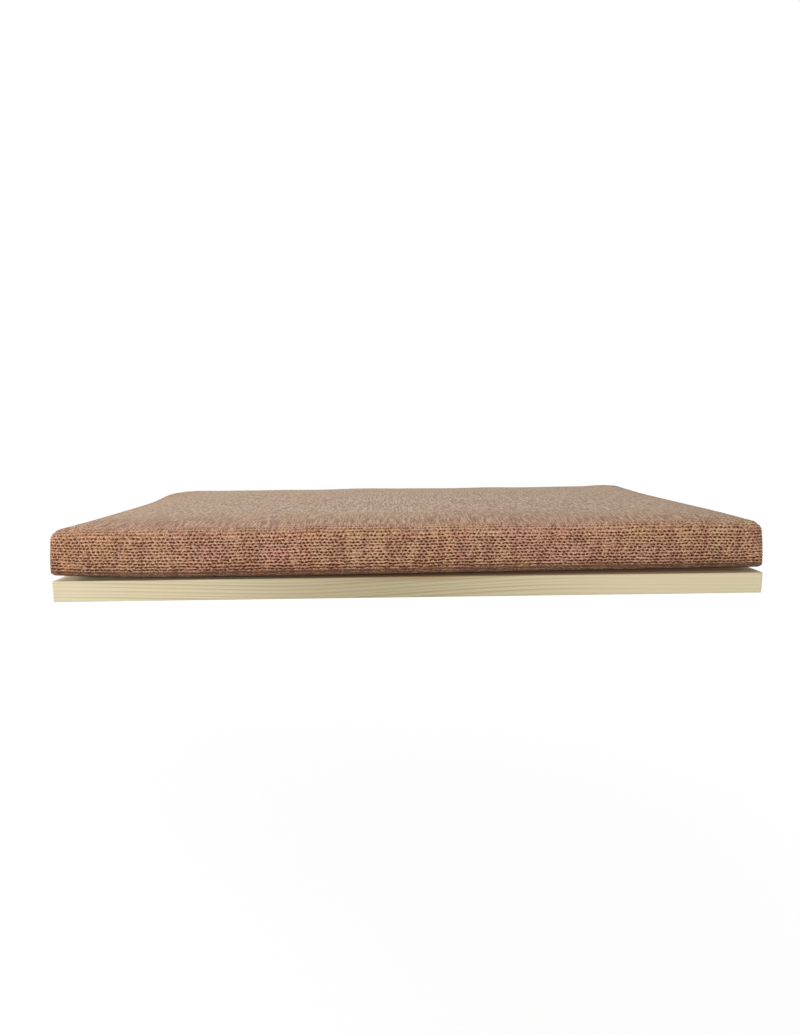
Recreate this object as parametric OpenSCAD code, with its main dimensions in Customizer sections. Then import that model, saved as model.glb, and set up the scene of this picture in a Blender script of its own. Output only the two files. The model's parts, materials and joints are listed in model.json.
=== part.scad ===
// Floating wall shelf for a pet: a solid board on hidden steel rods, with a knit-covered foam cushion.
// Origin: middle of the board's rear edge, on the wall and at half the board's thickness.
// +X runs along the wall, +Y into the wall and +Z up. Sizes are in millimetres.

/* [Board] */
// Length of the board along the wall
board_w = 600; // [480:10:900]
// Depth of the board from the wall
board_d = 350; // [300:10:450]
// Thickness of the board
board_t = 18; // [16:0.5:30]
// Radius of the eased edges
board_edge_r = 1.5; // [0.5:0.1:3]
// Radius of the two front corners, seen from above
board_corner_r = 2; // [2:0.5:20]

/* [Wall supports] */
// Distance from an end of the board to a support's axis
support_inset = 100; // [60:5:180]
// Diameter of a support rod
rod_d = 10; // [8:0.5:12]
// Length of a rod in front of its plate
rod_l = 200; // [80:5:240]
// Chamfer at the tip of a rod
rod_tip = 1.5; // [0.5:0.1:3]
// Diameter of the riveted tenon at the foot of a rod
tenon_d = 7; // [5:0.5:7.5]
// How far a plate stands past its rod, above and below
plate_rim = 1; // [0.5:0.1:1.5]
// Thickness of a wall plate
plate_t = 4; // [3:0.5:6]
// Distance between the two screw holes of a plate
screw_spacing = 44; // [36:1:70]
// Distance from a screw hole's axis to the end of the plate
plate_end = 8; // [6:0.5:12]
// Diameter of a screw hole
screw_d = 4.5; // [3:0.5:5]
// Diameter of its countersink
screw_head_d = 8.6; // [7:0.2:9.6]

/* [Fastening strips] */
// Width of a hook or loop strip
strip_w = 20; // [12:1:30]
// Radius of a strip's corners
strip_corner_r = 3; // [1:0.5:5]
// Thickness of a hook strip, on the board
hook_t = 1.2; // [0.8:0.1:2]
// Thickness of a loop strip, under the cushion
loop_t = 1.2; // [0.8:0.1:2]
// Distance from the lining's front or rear edge to a strip
strip_edge_gap = 10; // [4:1:30]
// Distance from the lining's end to a strip's end
strip_end_gap = 12; // [4:1:60]

/* [Cushion] */
// How far the cushion stands past each end of the board
cushion_end_over = 2; // [0:0.5:10]
// How far it stands past the board's front edge
cushion_front_over = 1; // [0:0.5:10]
// Gap between the cushion and the wall
cushion_wall_gap = 6; // [5:0.5:20]
// Thickness of the cushion at its edge
cushion_t = 40; // [36:1:80]
// Rise of the crown in the middle of the top
cushion_crown = 3; // [0.5:0.5:15]
// Radius of the cushion's corners, seen from above
cushion_corner_r = 14; // [8:1:40]
// Radius of the roll along the top edge
top_roll_r = 10; // [5:0.5:12]
// Radius of the roll along the bottom edge
bottom_roll_r = 6; // [5:0.5:12]
// How far the sides swell between the two rolls
side_swell = 0.8; // [0.2:0.1:2]
// How far the front draws in between its corners
front_draw_in = 3; // [0:0.5:10]
// How far each end draws in between its corners
end_draw_in = 2; // [0:0.5:10]
// How far the underside lifts at each corner
corner_lift = 2; // [0:0.5:6]
// Reach of that lift from the corner
corner_lift_reach = 70; // [20:5:100]
// Thickness of the knit cover
fabric_t = 1.6; // [1:0.1:2.5]
// Width of the knit turned under the cushion
turn_under = 50; // [30:5:80]
// Thickness of the lining under the cushion
lining_t = 1.4; // [0.8:0.1:2]

/* [Zip] */
// Distance from an end of the cushion to the zip's opening
zip_end_inset = 60; // [30:5:120]
// How far the tapes lie behind the cover's inner face
zip_seat = 1; // [0.8:0.1:2]
// Thickness of a tape
tape_t = 0.6; // [0.4:0.1:1]
// How far a tape runs past each end of the opening
tape_tail = 8; // [4:1:20]
// Width of one coil row
coil_w = 2.4; // [1.8:0.1:3.5]
// Height of one coil row
coil_t = 1.8; // [1.2:0.1:2.2]
// Gap between the two rows
row_gap = 1.2; // [0.8:0.1:1.6]
// Length of an end stop
stop_l = 3; // [2:0.5:5]
// Length of the slider
slider_l = 12; // [9:0.5:16]
// Thickness of the slider's two plates
slider_plate_t = 1.2; // [0.8:0.1:1.6]
// Thickness of the slider's side flanges
slider_wall_t = 1; // [0.6:0.1:1.4]
// How far the slider narrows at each side of its tail
slider_taper = 0.6; // [0.2:0.1:1]
// Thickness of the wedge between the rows
wedge_t = 0.8; // [0.5:0.1:1]
// Length of that wedge
wedge_l = 3; // [2:0.5:5]
// Length of the bridge that holds the pull
bridge_l = 6.4; // [5:0.2:8]
// Width of the bridge
bridge_w = 2.4; // [1.8:0.2:3]
// Thickness of the bridge's top
bridge_t = 0.9; // [0.6:0.1:1.2]
// Length of each foot of the bridge
bridge_foot_l = 1.2; // [0.8:0.1:1.5]
// Length of the pull from its pivot
pull_l = 24; // [16:1:35]
// Width of the pull
pull_w = 6; // [5:0.5:8]
// Thickness of the pull
pull_t = 1.2; // [0.8:0.1:1.6]
// Diameter of the hole near the pull's tip
pull_hole_d = 2.5; // [1.5:0.1:3]

/* [Hidden] */
$fn = 48;
both = [-1, 1];

// Clearances, and the overrun that every cut takes past a face
overrun = 1;
rod_fit = 0.1;
tenon_fit = 0.05;
tenon_recess = 0.2;
bore_end_gap = 4;
pocket_gap = 0.3;
seam_gap = 0.3;
foam_gap = 0.3;
slider_gap = 0.2;
slider_foam_gap = 0.4;
slider_stop_gap = 0.5;
opening_gap = 0.8;
tape_edge_gap = 0.4;
pull_gap = 0.3;

// Supports
support_x = board_w / 2 - support_inset;
plate_w = screw_spacing + 2 * plate_end;
plate_h = rod_d + 2 * plate_rim;
countersink_h = (screw_head_d - screw_d) / 2;

// Cushion, as half sizes about its own middle
half_w = board_w / 2 + cushion_end_over;
half_d = (board_d + cushion_front_over - cushion_wall_gap) / 2;
rear_y = -cushion_wall_gap;
middle_y = rear_y - half_d;
under_z = board_t / 2 + hook_t + loop_t;
top_z = under_z + cushion_t;
side_flat_h = cushion_t - top_roll_r - bottom_roll_r;
swell_z = under_z + bottom_roll_r + side_flat_h / 2;
least_corner_r = 2;
side_draws = [0, end_draw_in, front_draw_in, end_draw_in];
corner_sides = [[1, 1], [-1, 1], [-1, -1], [1, -1]];
corner_steps = 4;
side_steps = 6;
roll_angles = [0, 30, 60, 90];
top_ring_shares = [0.2, 0.5, 0.8];

// Lining under the cushion and the strips on it
lining_half_w = half_w - turn_under - seam_gap;
lining_half_d = half_d - turn_under - seam_gap;
strip_l = 2 * (lining_half_w - strip_end_gap);
strip_reach = lining_half_d - strip_edge_gap - strip_w / 2;
front_strip_y = middle_y - strip_reach;
rear_strip_y = middle_y + strip_reach;

// Zip across the rear side: depths run from the rear face towards the foam
opening_half_l = half_w - zip_end_inset;
tape_half_l = opening_half_l + tape_tail;
coil_half_l = opening_half_l - stop_l;
tape_out = fabric_t + zip_seat;
tape_in = tape_out + tape_t;
coil_out = tape_out - coil_t;
front_plate_in = coil_out - slider_gap;
front_plate_out = front_plate_in - slider_plate_t;
back_plate_out = tape_in + slider_gap;
back_plate_in = back_plate_out + slider_plate_t;
foam_trim = back_plate_in + slider_foam_gap;
row_in = row_gap / 2;
row_out = row_in + coil_w;
tape_w = side_flat_h / 2 - row_in - tape_edge_gap;
slider_w = 2 * (row_out + slider_gap + slider_wall_t);
opening_h = slider_w + 2 * opening_gap;
slider_x = coil_half_l - slider_stop_gap - slider_l / 2;
bridge_h = pull_t + 2 * pull_gap;
pivot_y = rear_y - front_plate_out + bridge_h / 2;
eye_w = bridge_w + 2 * pull_gap;
eye_l = norm([bridge_l / 2, bridge_h / 2 + bridge_t]) + pull_gap;

// Two-dimensional outlines with round corners

module round_rect(w, h, r) {
    square([w - 2 * r, h], center = true);
    square([w, h - 2 * r], center = true);
    for (sx = both, sy = both)
        translate([sx * (w / 2 - r), sy * (h / 2 - r)])
            circle(r);
}

module stadium(w, h) {
    square([w - h, h], center = true);
    for (sx = both)
        translate([sx * (w - h) / 2, 0])
            circle(d = h);
}

// An outline that is round at its two front corners and square at the wall
module front_rounded(w, d, r) {
    translate([-w / 2, r - d])
        square([w, d - r]);
    translate([r - w / 2, -d])
        square([w - 2 * r, d]);
    for (sx = both)
        translate([sx * (w / 2 - r), r - d])
            circle(r);
}

// Wall supports

module wall_plate(side) {
    color("silver")
        translate([side * support_x, 0, 0])
            rotate([90, 0, 0])
                difference() {
                    linear_extrude(plate_t)
                        stadium(plate_w, plate_h);
                    translate([0, 0, -overrun])
                        cylinder(d = tenon_d + 2 * tenon_fit, h = plate_t + 2 * overrun);
                    for (sx = both)
                        translate([sx * screw_spacing / 2, 0, 0])
                            screw_hole();
                }
}

module screw_hole() {
    translate([0, 0, -overrun])
        cylinder(d = screw_d, h = plate_t + 2 * overrun);
    translate([0, 0, plate_t - countersink_h])
        cylinder(d1 = screw_d, d2 = screw_head_d + 2 * overrun, h = countersink_h + overrun);
}

module support_rod(side) {
    foot = plate_t;
    tip = plate_t + rod_l;
    color("gainsboro")
        translate([side * support_x, 0, 0])
            rotate([90, 0, 0])
                rotate_extrude()
                    polygon([
                        [0, tenon_recess],
                        [tenon_d / 2, tenon_recess],
                        [tenon_d / 2, foot],
                        [rod_d / 2, foot],
                        [rod_d / 2, tip - rod_tip],
                        [rod_d / 2 - rod_tip, tip],
                        [0, tip]
                    ]);
}

// Board

module eased_board() {
    intersection() {
        rotate([90, 0, 90])
            linear_extrude(board_w, center = true)
                rotate(-90)
                    front_rounded(board_t, board_d, board_edge_r);
        rotate([90, 0, 0])
            linear_extrude(board_d)
                round_rect(board_w, board_t, board_edge_r);
        linear_extrude(board_t, center = true)
            front_rounded(board_w, board_d, board_corner_r);
    }
}

// Room for one support: a blind bore for the rod and a pocket for the plate
module support_recess() {
    rotate([90, 0, 0])
        translate([0, 0, -overrun]) {
            cylinder(d = rod_d + 2 * rod_fit, h = overrun + plate_t + rod_l + bore_end_gap);
            linear_extrude(overrun + plate_t + pocket_gap)
                stadium(plate_w + 2 * pocket_gap, plate_h + 2 * pocket_gap);
        }
}

module shelf_board() {
    color("#dccda6")
        difference() {
            eased_board();
            for (side = both)
                translate([side * support_x, 0, 0])
                    support_recess();
        }
}

// Hook-and-loop strips

module strip(y, z, t) {
    translate([0, y, z])
        linear_extrude(t)
            round_rect(strip_l, strip_w, strip_corner_r);
}

module hook_strip(y) {
    color("#4a4038")
        strip(y, board_t / 2, hook_t);
}

module loop_strip(y) {
    color("#5c5046")
        strip(y, under_z - loop_t, loop_t);
}

// Cushion: rings of one outline, drawn in between the corners and lofted from the underside to the crown

function side_draw(side, t, inset) =
    side_draws[side] * (1 - pow(2 * t - 1, 2)) * max(0, 1 - inset / turn_under);

function corner_middle(corner, inset, r) =
    [corner_sides[corner].x * (half_w - inset - r), corner_sides[corner].y * (half_d - inset - r)];

function turned(angle, r) = [r * cos(angle), r * sin(angle)];

function corner_point(corner, t, inset, r) =
    corner_middle(corner, inset, r) + turned(90 * (corner + t), r);

function side_point(side, t, inset, r) =
    let (
        out = 90 * (side + 1),
        from = corner_middle(side, inset, r),
        to = corner_middle((side + 1) % 4, inset, r)
    )
    from * (1 - t) + to * t + turned(out, r - side_draw(side, t, inset));

function plan_ring(inset) =
    let (r = max(cushion_corner_r - inset, least_corner_r))
    [
        for (i = [0:3])
            each concat(
                [for (s = [0:corner_steps]) corner_point(i, s / corner_steps, inset, r)],
                [for (s = [1:side_steps]) side_point(i, s / (side_steps + 1), inset, r)]
            )
    ];

// Height added at a point: the crown grows towards the top, and the corner lift towards the underside
function crown_at(p, z) =
    cushion_crown * max(0, z - swell_z) / (top_z - swell_z)
    * (1 - pow(p.x / half_w, 2)) * (1 - pow(p.y / half_d, 2));

function lift_at(p, z) =
    let (from_corner = norm([half_w - abs(p.x), half_d - abs(p.y)]))
    corner_lift * (top_z - z) / cushion_t * pow(max(0, 1 - from_corner / corner_lift_reach), 2);

function raised(p, z) = [p.x, p.y, z + crown_at(p, z) + lift_at(p, z)];

// Inset and height of each ring, for the surface that lies a given depth inside the cover's outer face
function ring_places(depth) = concat(
    [[turn_under, under_z + depth]],
    [
        for (a = roll_angles)
            [
                side_swell + bottom_roll_r - (bottom_roll_r - depth) * sin(a),
                under_z + bottom_roll_r - (bottom_roll_r - depth) * cos(a)
            ]
    ],
    [[depth, swell_z]],
    [
        for (a = roll_angles)
            [
                side_swell + top_roll_r - (top_roll_r - depth) * cos(a),
                top_z - top_roll_r + (top_roll_r - depth) * sin(a)
            ]
    ],
    [for (share = top_ring_shares) [share * half_d, top_z - depth]]
);

function surface_rings(depth) =
    [for (place = ring_places(depth)) [for (p = plan_ring(place.x)) raised(p, place.y)]];

function top_middle(depth) = raised([0, 0], top_z - depth);

function reversed(list) = [for (i = [len(list) - 1:-1:0]) list[i]];

// A closed solid through a list of rings, with a middle point that closes each end.
// Strips before the given number run backwards and are cut along the other diagonal,
// so that surfaces at different depths stay parallel.
module lofted(rings, first_middle, last_middle, backward = 0) {
    n = len(rings[0]);
    last = len(rings) - 1;
    end = n * (last + 1);
    points = concat([for (ring = rings) each ring], [first_middle, last_middle]);
    strips = [
        for (i = [0:last - 1], k = [0:n - 1])
            let (
                a = i * n + k,
                b = i * n + (k + 1) % n
            )
            each i < backward
                ? [[a, a + n, b], [b, a + n, b + n]]
                : [[a, a + n, b + n], [a, b + n, b]]
    ];
    first_fan = [for (k = [0:n - 1]) [k, (k + 1) % n, end]];
    last_fan = [for (k = [0:n - 1]) [last * n + k, end + 1, last * n + (k + 1) % n]];
    polyhedron(points, concat(strips, first_fan, last_fan));
}

// A box across the rear side, from depths below the rear face and heights from the zip's middle
module rear_box(x0, x1, depth0, depth1, z0, z1) {
    translate([x0, rear_y - depth1, swell_z + z0])
        cube([x1 - x0, depth1 - depth0, z1 - z0]);
}

module cushion_cover() {
    inner = surface_rings(fabric_t);
    outer = surface_rings(0);
    color("#a4795a")
        difference() {
            translate([0, middle_y, 0])
                lofted(
                    concat(reversed(inner), outer),
                    top_middle(fabric_t),
                    top_middle(0),
                    backward = len(inner) - 1
                );
            rear_box(-opening_half_l, opening_half_l, -overrun, tape_out, -opening_h / 2, opening_h / 2);
        }
}

module cover_lining() {
    color("#6b5847")
        translate([0, middle_y, under_z])
            linear_extrude(lining_t)
                round_rect(2 * lining_half_w, 2 * lining_half_d, least_corner_r);
}

module foam_core() {
    depth = fabric_t + foam_gap;
    color("#e8e0c8")
        difference() {
            translate([0, middle_y, 0])
                lofted(surface_rings(depth), [0, 0, under_z + depth], top_middle(depth));
            rear_box(-half_w, half_w, -overrun, foam_trim, -cushion_t, cushion_t);
        }
}

// Zip

module zip_tape(up) {
    color("#6e4f3a")
        rear_box(
            -tape_half_l, tape_half_l, tape_out, tape_in,
            min(up * row_in, up * (row_in + tape_w)), max(up * row_in, up * (row_in + tape_w))
        );
}

module coil_row(up, x0, x1) {
    rear_box(
        x0, x1, coil_out, tape_out,
        min(up * row_in, up * row_out), max(up * row_in, up * row_out)
    );
}

module zip_coil(up) {
    color("#5a4030")
        coil_row(up, -coil_half_l, coil_half_l);
}

module zip_bottom_stop() {
    color("darkgoldenrod")
        rear_box(-opening_half_l, -coil_half_l, coil_out, tape_out, -row_out, row_out);
}

module zip_top_stops() {
    color("darkgoldenrod")
        for (up = both)
            coil_row(up, coil_half_l, opening_half_l);
}

// Slider: two plates joined by a wedge between the rows, side flanges round the rows, and a bridge

module slider_plate(depth0, depth1) {
    translate([slider_x, rear_y - depth0, swell_z])
        rotate([90, 0, 0])
            linear_extrude(depth1 - depth0)
                polygon([
                    [-slider_l / 2, slider_taper - slider_w / 2],
                    [0, -slider_w / 2],
                    [slider_l / 2, -slider_w / 2],
                    [slider_l / 2, slider_w / 2],
                    [0, slider_w / 2],
                    [-slider_l / 2, slider_w / 2 - slider_taper]
                ]);
}

module slider_bridge() {
    top = front_plate_out - bridge_h;
    from = slider_x - bridge_l / 2;
    to = slider_x + bridge_l / 2;
    half = bridge_w / 2;
    rear_box(from, to, top - bridge_t, top, -half, half);
    rear_box(from, from + bridge_foot_l, top - bridge_t, front_plate_out, -half, half);
    rear_box(to - bridge_foot_l, to, top - bridge_t, front_plate_out, -half, half);
}

module zip_slider() {
    flange_from = slider_w / 2 - slider_wall_t;
    flange_to = slider_w / 2;
    head = slider_x + slider_l / 2;
    color("darkgoldenrod") {
        slider_plate(front_plate_out, front_plate_in);
        slider_plate(back_plate_out, back_plate_in);
        rear_box(head - wedge_l, head, front_plate_out, back_plate_in, -wedge_t / 2, wedge_t / 2);
        for (up = both)
            rear_box(
                slider_x, head, front_plate_out, tape_out - slider_gap,
                min(up * flange_from, up * flange_to), max(up * flange_from, up * flange_to)
            );
        slider_bridge();
    }
}

// Pull, flat against the cushion, on a round bar under the slider's bridge
module zip_pull() {
    color("goldenrod")
        translate([slider_x, pivot_y, swell_z]) {
            cylinder(d = pull_t, h = pull_w, center = true);
            translate([0, pull_t / 2, 0])
                rotate([90, 0, 0])
                    linear_extrude(pull_t)
                        pull_outline();
        }
}

module pull_outline() {
    tip_r = pull_w / 2;
    difference() {
        union() {
            translate([0, -pull_w / 2])
                square([pull_l - tip_r, pull_w]);
            translate([pull_l - tip_r, 0])
                circle(tip_r);
        }
        translate([-overrun, -eye_w / 2])
            square([eye_l + overrun, eye_w]);
        translate([pull_l - tip_r, 0])
            circle(d = pull_hole_d);
    }
}

wall_plate(-1);  // left_wall_plate
wall_plate(1);  // right_wall_plate
support_rod(-1);  // left_support_rod
support_rod(1);  // right_support_rod
shelf_board();
hook_strip(front_strip_y);  // front_hook_strip
hook_strip(rear_strip_y);  // rear_hook_strip
cushion_cover();
cover_lining();
foam_core();
loop_strip(front_strip_y);  // front_loop_strip
loop_strip(rear_strip_y);  // rear_loop_strip
zip_tape(1);  // zip_upper_tape
zip_tape(-1);  // zip_lower_tape
zip_coil(1);  // zip_upper_coil
zip_coil(-1);  // zip_lower_coil
zip_bottom_stop();
zip_top_stops();
zip_slider();
zip_pull();
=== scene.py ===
"""A floating wall shelf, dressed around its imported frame: a pine board on hidden steel rods, and a foam
cushion in a chunky knit cover with a zip along its rear side."""
import json
import math

import bmesh
import bpy
import numpy as np
from mathutils import Matrix, Vector
from mathutils.bvhtree import BVHTree

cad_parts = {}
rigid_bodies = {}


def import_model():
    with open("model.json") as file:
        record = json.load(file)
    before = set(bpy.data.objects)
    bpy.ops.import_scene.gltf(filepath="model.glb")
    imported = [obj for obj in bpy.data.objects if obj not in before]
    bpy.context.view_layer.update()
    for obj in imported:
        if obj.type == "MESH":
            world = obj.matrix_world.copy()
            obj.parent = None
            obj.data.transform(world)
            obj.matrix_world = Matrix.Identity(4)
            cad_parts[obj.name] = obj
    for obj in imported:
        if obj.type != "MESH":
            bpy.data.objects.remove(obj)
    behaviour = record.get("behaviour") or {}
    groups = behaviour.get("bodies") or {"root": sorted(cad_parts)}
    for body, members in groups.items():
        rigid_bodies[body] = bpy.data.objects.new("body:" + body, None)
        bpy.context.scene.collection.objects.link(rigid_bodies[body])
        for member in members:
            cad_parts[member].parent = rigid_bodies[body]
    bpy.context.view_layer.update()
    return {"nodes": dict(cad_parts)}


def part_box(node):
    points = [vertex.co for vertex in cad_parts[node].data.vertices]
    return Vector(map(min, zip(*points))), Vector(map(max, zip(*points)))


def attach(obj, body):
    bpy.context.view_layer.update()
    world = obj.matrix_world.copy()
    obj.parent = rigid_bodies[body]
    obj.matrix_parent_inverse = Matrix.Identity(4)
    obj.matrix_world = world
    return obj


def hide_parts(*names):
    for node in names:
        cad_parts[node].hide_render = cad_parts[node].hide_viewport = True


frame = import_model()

MM = 0.001
QUARTER = math.pi / 2
SAME_POINT = 0.001 * MM
SAME_FACE = math.radians(0.5)
rng = np.random.default_rng(7)
SCENE = bpy.context.scene
BOARD_LOW, BOARD_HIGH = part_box("shelf_board")
COVER_LOW, COVER_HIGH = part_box("cushion_cover")


# Node graphs

class Graph:
    """The nodes of one material or world, with short calls that return output sockets."""

    def __init__(self, name, owners=bpy.data.materials):
        self.owner = owners.new(name)
        self.owner.use_nodes = True
        self.tree = self.owner.node_tree

    def feed(self, socket, value):
        if isinstance(value, bpy.types.NodeSocket):
            self.tree.links.new(value, socket)
        else:
            socket.default_value = value

    def node(self, kind, inputs=(), output=0, **settings):
        made = self.tree.nodes.new(kind)
        for key, value in settings.items():
            setattr(made, key, value)
        for key, value in dict(inputs).items():
            self.feed(made.inputs[key], value)
        return made.outputs[output]

    def math(self, operation, *values):
        return self.node("ShaderNodeMath", enumerate(values), operation=operation)

    def add(self, a, b):
        return self.math("ADD", a, b)

    def sub(self, a, b):
        return self.math("SUBTRACT", a, b)

    def mul(self, a, b):
        return self.math("MULTIPLY", a, b)

    def squares(self, a, b):
        return self.add(self.math("POWER", a, 2.0), self.math("POWER", b, 2.0))

    def bell(self, value, middle, steepness):
        """1 at the middle, falling off on both sides."""
        off = self.mul(self.sub(value, middle), steepness)
        return self.math("EXPONENT", self.mul(self.math("POWER", off, 2.0), -1.0))

    def odd(self, value):
        """1 for an odd whole number, 0 for an even one."""
        return self.math("MODULO", self.math("ABSOLUTE", value), 2.0)

    def smooth(self, value, low, high, to_low=0.0, to_high=1.0):
        inputs = {"Value": value, 1: low, 2: high, 3: to_low, 4: to_high}
        return self.node("ShaderNodeMapRange", inputs, interpolation_type="SMOOTHSTEP")

    def place(self):
        """Position in the piece's own frame, which is the row frame at rest."""
        return self.node("ShaderNodeTexCoord", output="Object")

    def split(self, vector):
        made = self.tree.nodes.new("ShaderNodeSeparateXYZ")
        self.feed(made.inputs[0], vector)
        return made.outputs

    def join(self, x, y, z=0.0):
        return self.node("ShaderNodeCombineXYZ", enumerate((x, y, z)))

    def stretched(self, vector, x, y, z):
        return self.node("ShaderNodeVectorMath", {0: vector, 1: (x, y, z)}, operation="MULTIPLY")

    def noise(self, vector, scale=1.0, detail=2.0, roughness=0.5):
        inputs = {"Vector": vector, "Scale": scale, "Detail": detail, "Roughness": roughness}
        return self.node("ShaderNodeTexNoise", inputs)

    def random(self, value):
        return self.node("ShaderNodeTexWhiteNoise", {"W": value}, noise_dimensions="1D")

    def random_at(self, vector, output="Value"):
        return self.node("ShaderNodeTexWhiteNoise", {"Vector": vector}, output, noise_dimensions="3D")

    def mix(self, share, a, b):
        made = self.tree.nodes.new("ShaderNodeMix")
        made.data_type = "RGBA"
        self.feed(made.inputs[0], share)
        self.feed(made.inputs[6], a)
        self.feed(made.inputs[7], b)
        return made.outputs[2]

    def tint(self, colour, tone, value, *ramp):
        """A colour with a tone mixed in along a ramp."""
        return self.mix(self.smooth(value, *ramp), colour, rgb(*tone))

    def bump(self, height, distance, strength):
        inputs = {"Height": height, "Distance": distance, "Strength": strength}
        return self.node("ShaderNodeBump", inputs)

    def surface(self, **inputs):
        bsdf = self.tree.nodes["Principled BSDF"]
        for key, value in inputs.items():
            self.feed(bsdf.inputs[key.replace("_", " ")], value)
        return self.owner

    def shown_apart(self, lit, seen, output):
        """Lights the scene by one shader, and shows the other to the camera and in metal or glass."""
        rays = self.tree.nodes.new("ShaderNodeLightPath").outputs
        direct = self.math("MAXIMUM", rays["Is Camera Ray"], rays["Is Glossy Ray"])
        direct = self.math("MAXIMUM", direct, rays["Is Transmission Ray"])
        shown = self.node("ShaderNodeMixShader", {0: direct, 1: lit, 2: seen})
        self.feed(self.tree.nodes[output].inputs["Surface"], shown)
        return self.owner


def rgb(red, green, blue):
    """A colour given as the eye sees it, 0 to 255, in the renderer's linear values."""
    def linear(c):
        c /= 255
        return c / 12.92 if c <= 0.04045 else ((c + 0.055) / 1.055) ** 2.4
    return (linear(red), linear(green), linear(blue), 1.0)


# Pine board. A pair of places holds the start and end of a ramp.

STAVES = 6
STAVE_START = 1 * MM
STAVE_W = (BOARD_HIGH.y - BOARD_LOW.y + 2 * STAVE_START) / STAVES
RING_W = 2.7 * MM
RING_WANDER = (10 * MM, 13 * MM)
PITH_DEPTH = (34 * MM, 95 * MM)
BOW = 8 * MM
BOW_X = (-130 * MM, 150 * MM)
KNOT_SWIRL = 9 * MM
HEART_AND_SHADE_X = -30 * MM
PLAIN_LEFT_X = (-290 * MM, -240 * MM)
PLAIN_RIGHT_X = (80 * MM, 220 * MM)
GRAIN_AND_SHADE_X = 5 * MM
GRAIN_AND_SHADE_BELOW_TOP = (1.5 * MM, 5 * MM)
GRAIN_AND_SHADE_DEPTH = (0.5 * MM, 3 * MM)
SHADE_UNDER_PAD_X = (-200 * MM, -20 * MM)
SHADE_UNDER_PAD_Y = (8 * MM, 24 * MM)
SHADE_UNDER_PAD_BELOW_TOP = (0.1 * MM, 0.6 * MM)
PINE_RELIEF = 0.12 * MM
KNOTS_MM = [(-212, -96, 6), (118, -214, 8), (236, -52, 5), (-55, -268, 5)]


def pine_rings(g, place, stave, pick):
    """The share of late wood in rings round each stave's pith, the swirl round the knots, and the knots."""
    x, y, z = g.split(place)
    wander = g.sub(g.noise(g.stretched(place, 2.2, 9, 9)), 0.5)
    other_pick = g.random(g.add(stave, 7.61))
    tilt = g.mul(x, g.smooth(other_pick, 0, 1, -0.03, 0.035))
    across = g.add(g.sub(y, g.mul(g.add(stave, 0.5), STAVE_W)), g.mul(wander, RING_WANDER[0]))
    depth = g.add(g.smooth(pick, 0, 1, *PITH_DEPTH), g.add(tilt, g.mul(wander, RING_WANDER[1])))
    depth = g.add(g.add(z, depth), g.smooth(x, *BOW_X, BOW, -BOW))
    swirl, knot_share = 0, 0
    for knot_x, knot_y, r in np.multiply(KNOTS_MM, MM):
        away = g.math("SQRT", g.squares(g.sub(x, knot_x), g.sub(y, knot_y)))
        swirl = g.math("MAXIMUM", swirl, g.smooth(away, 0.6 * r, 5 * r, 1, 0))
        knot_share = g.math("MAXIMUM", knot_share, g.smooth(away, 0.75 * r, 1.1 * r, 1, 0))
    depth = g.add(depth, g.mul(swirl, KNOT_SWIRL))
    radius = g.math("SQRT", g.squares(across, depth))
    season = g.noise(g.join(g.mul(radius, 190), stave))
    ring = g.math("FRACT", g.add(g.math("DIVIDE", radius, RING_W), g.mul(season, 2.4)))
    late = g.mul(g.smooth(ring, 0.3, 0.9), g.smooth(ring, 0.92, 1, 1, 0))
    return g.mul(late, g.smooth(season, 0.25, 0.7, 1, 0.35)), swirl, knot_share


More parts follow.
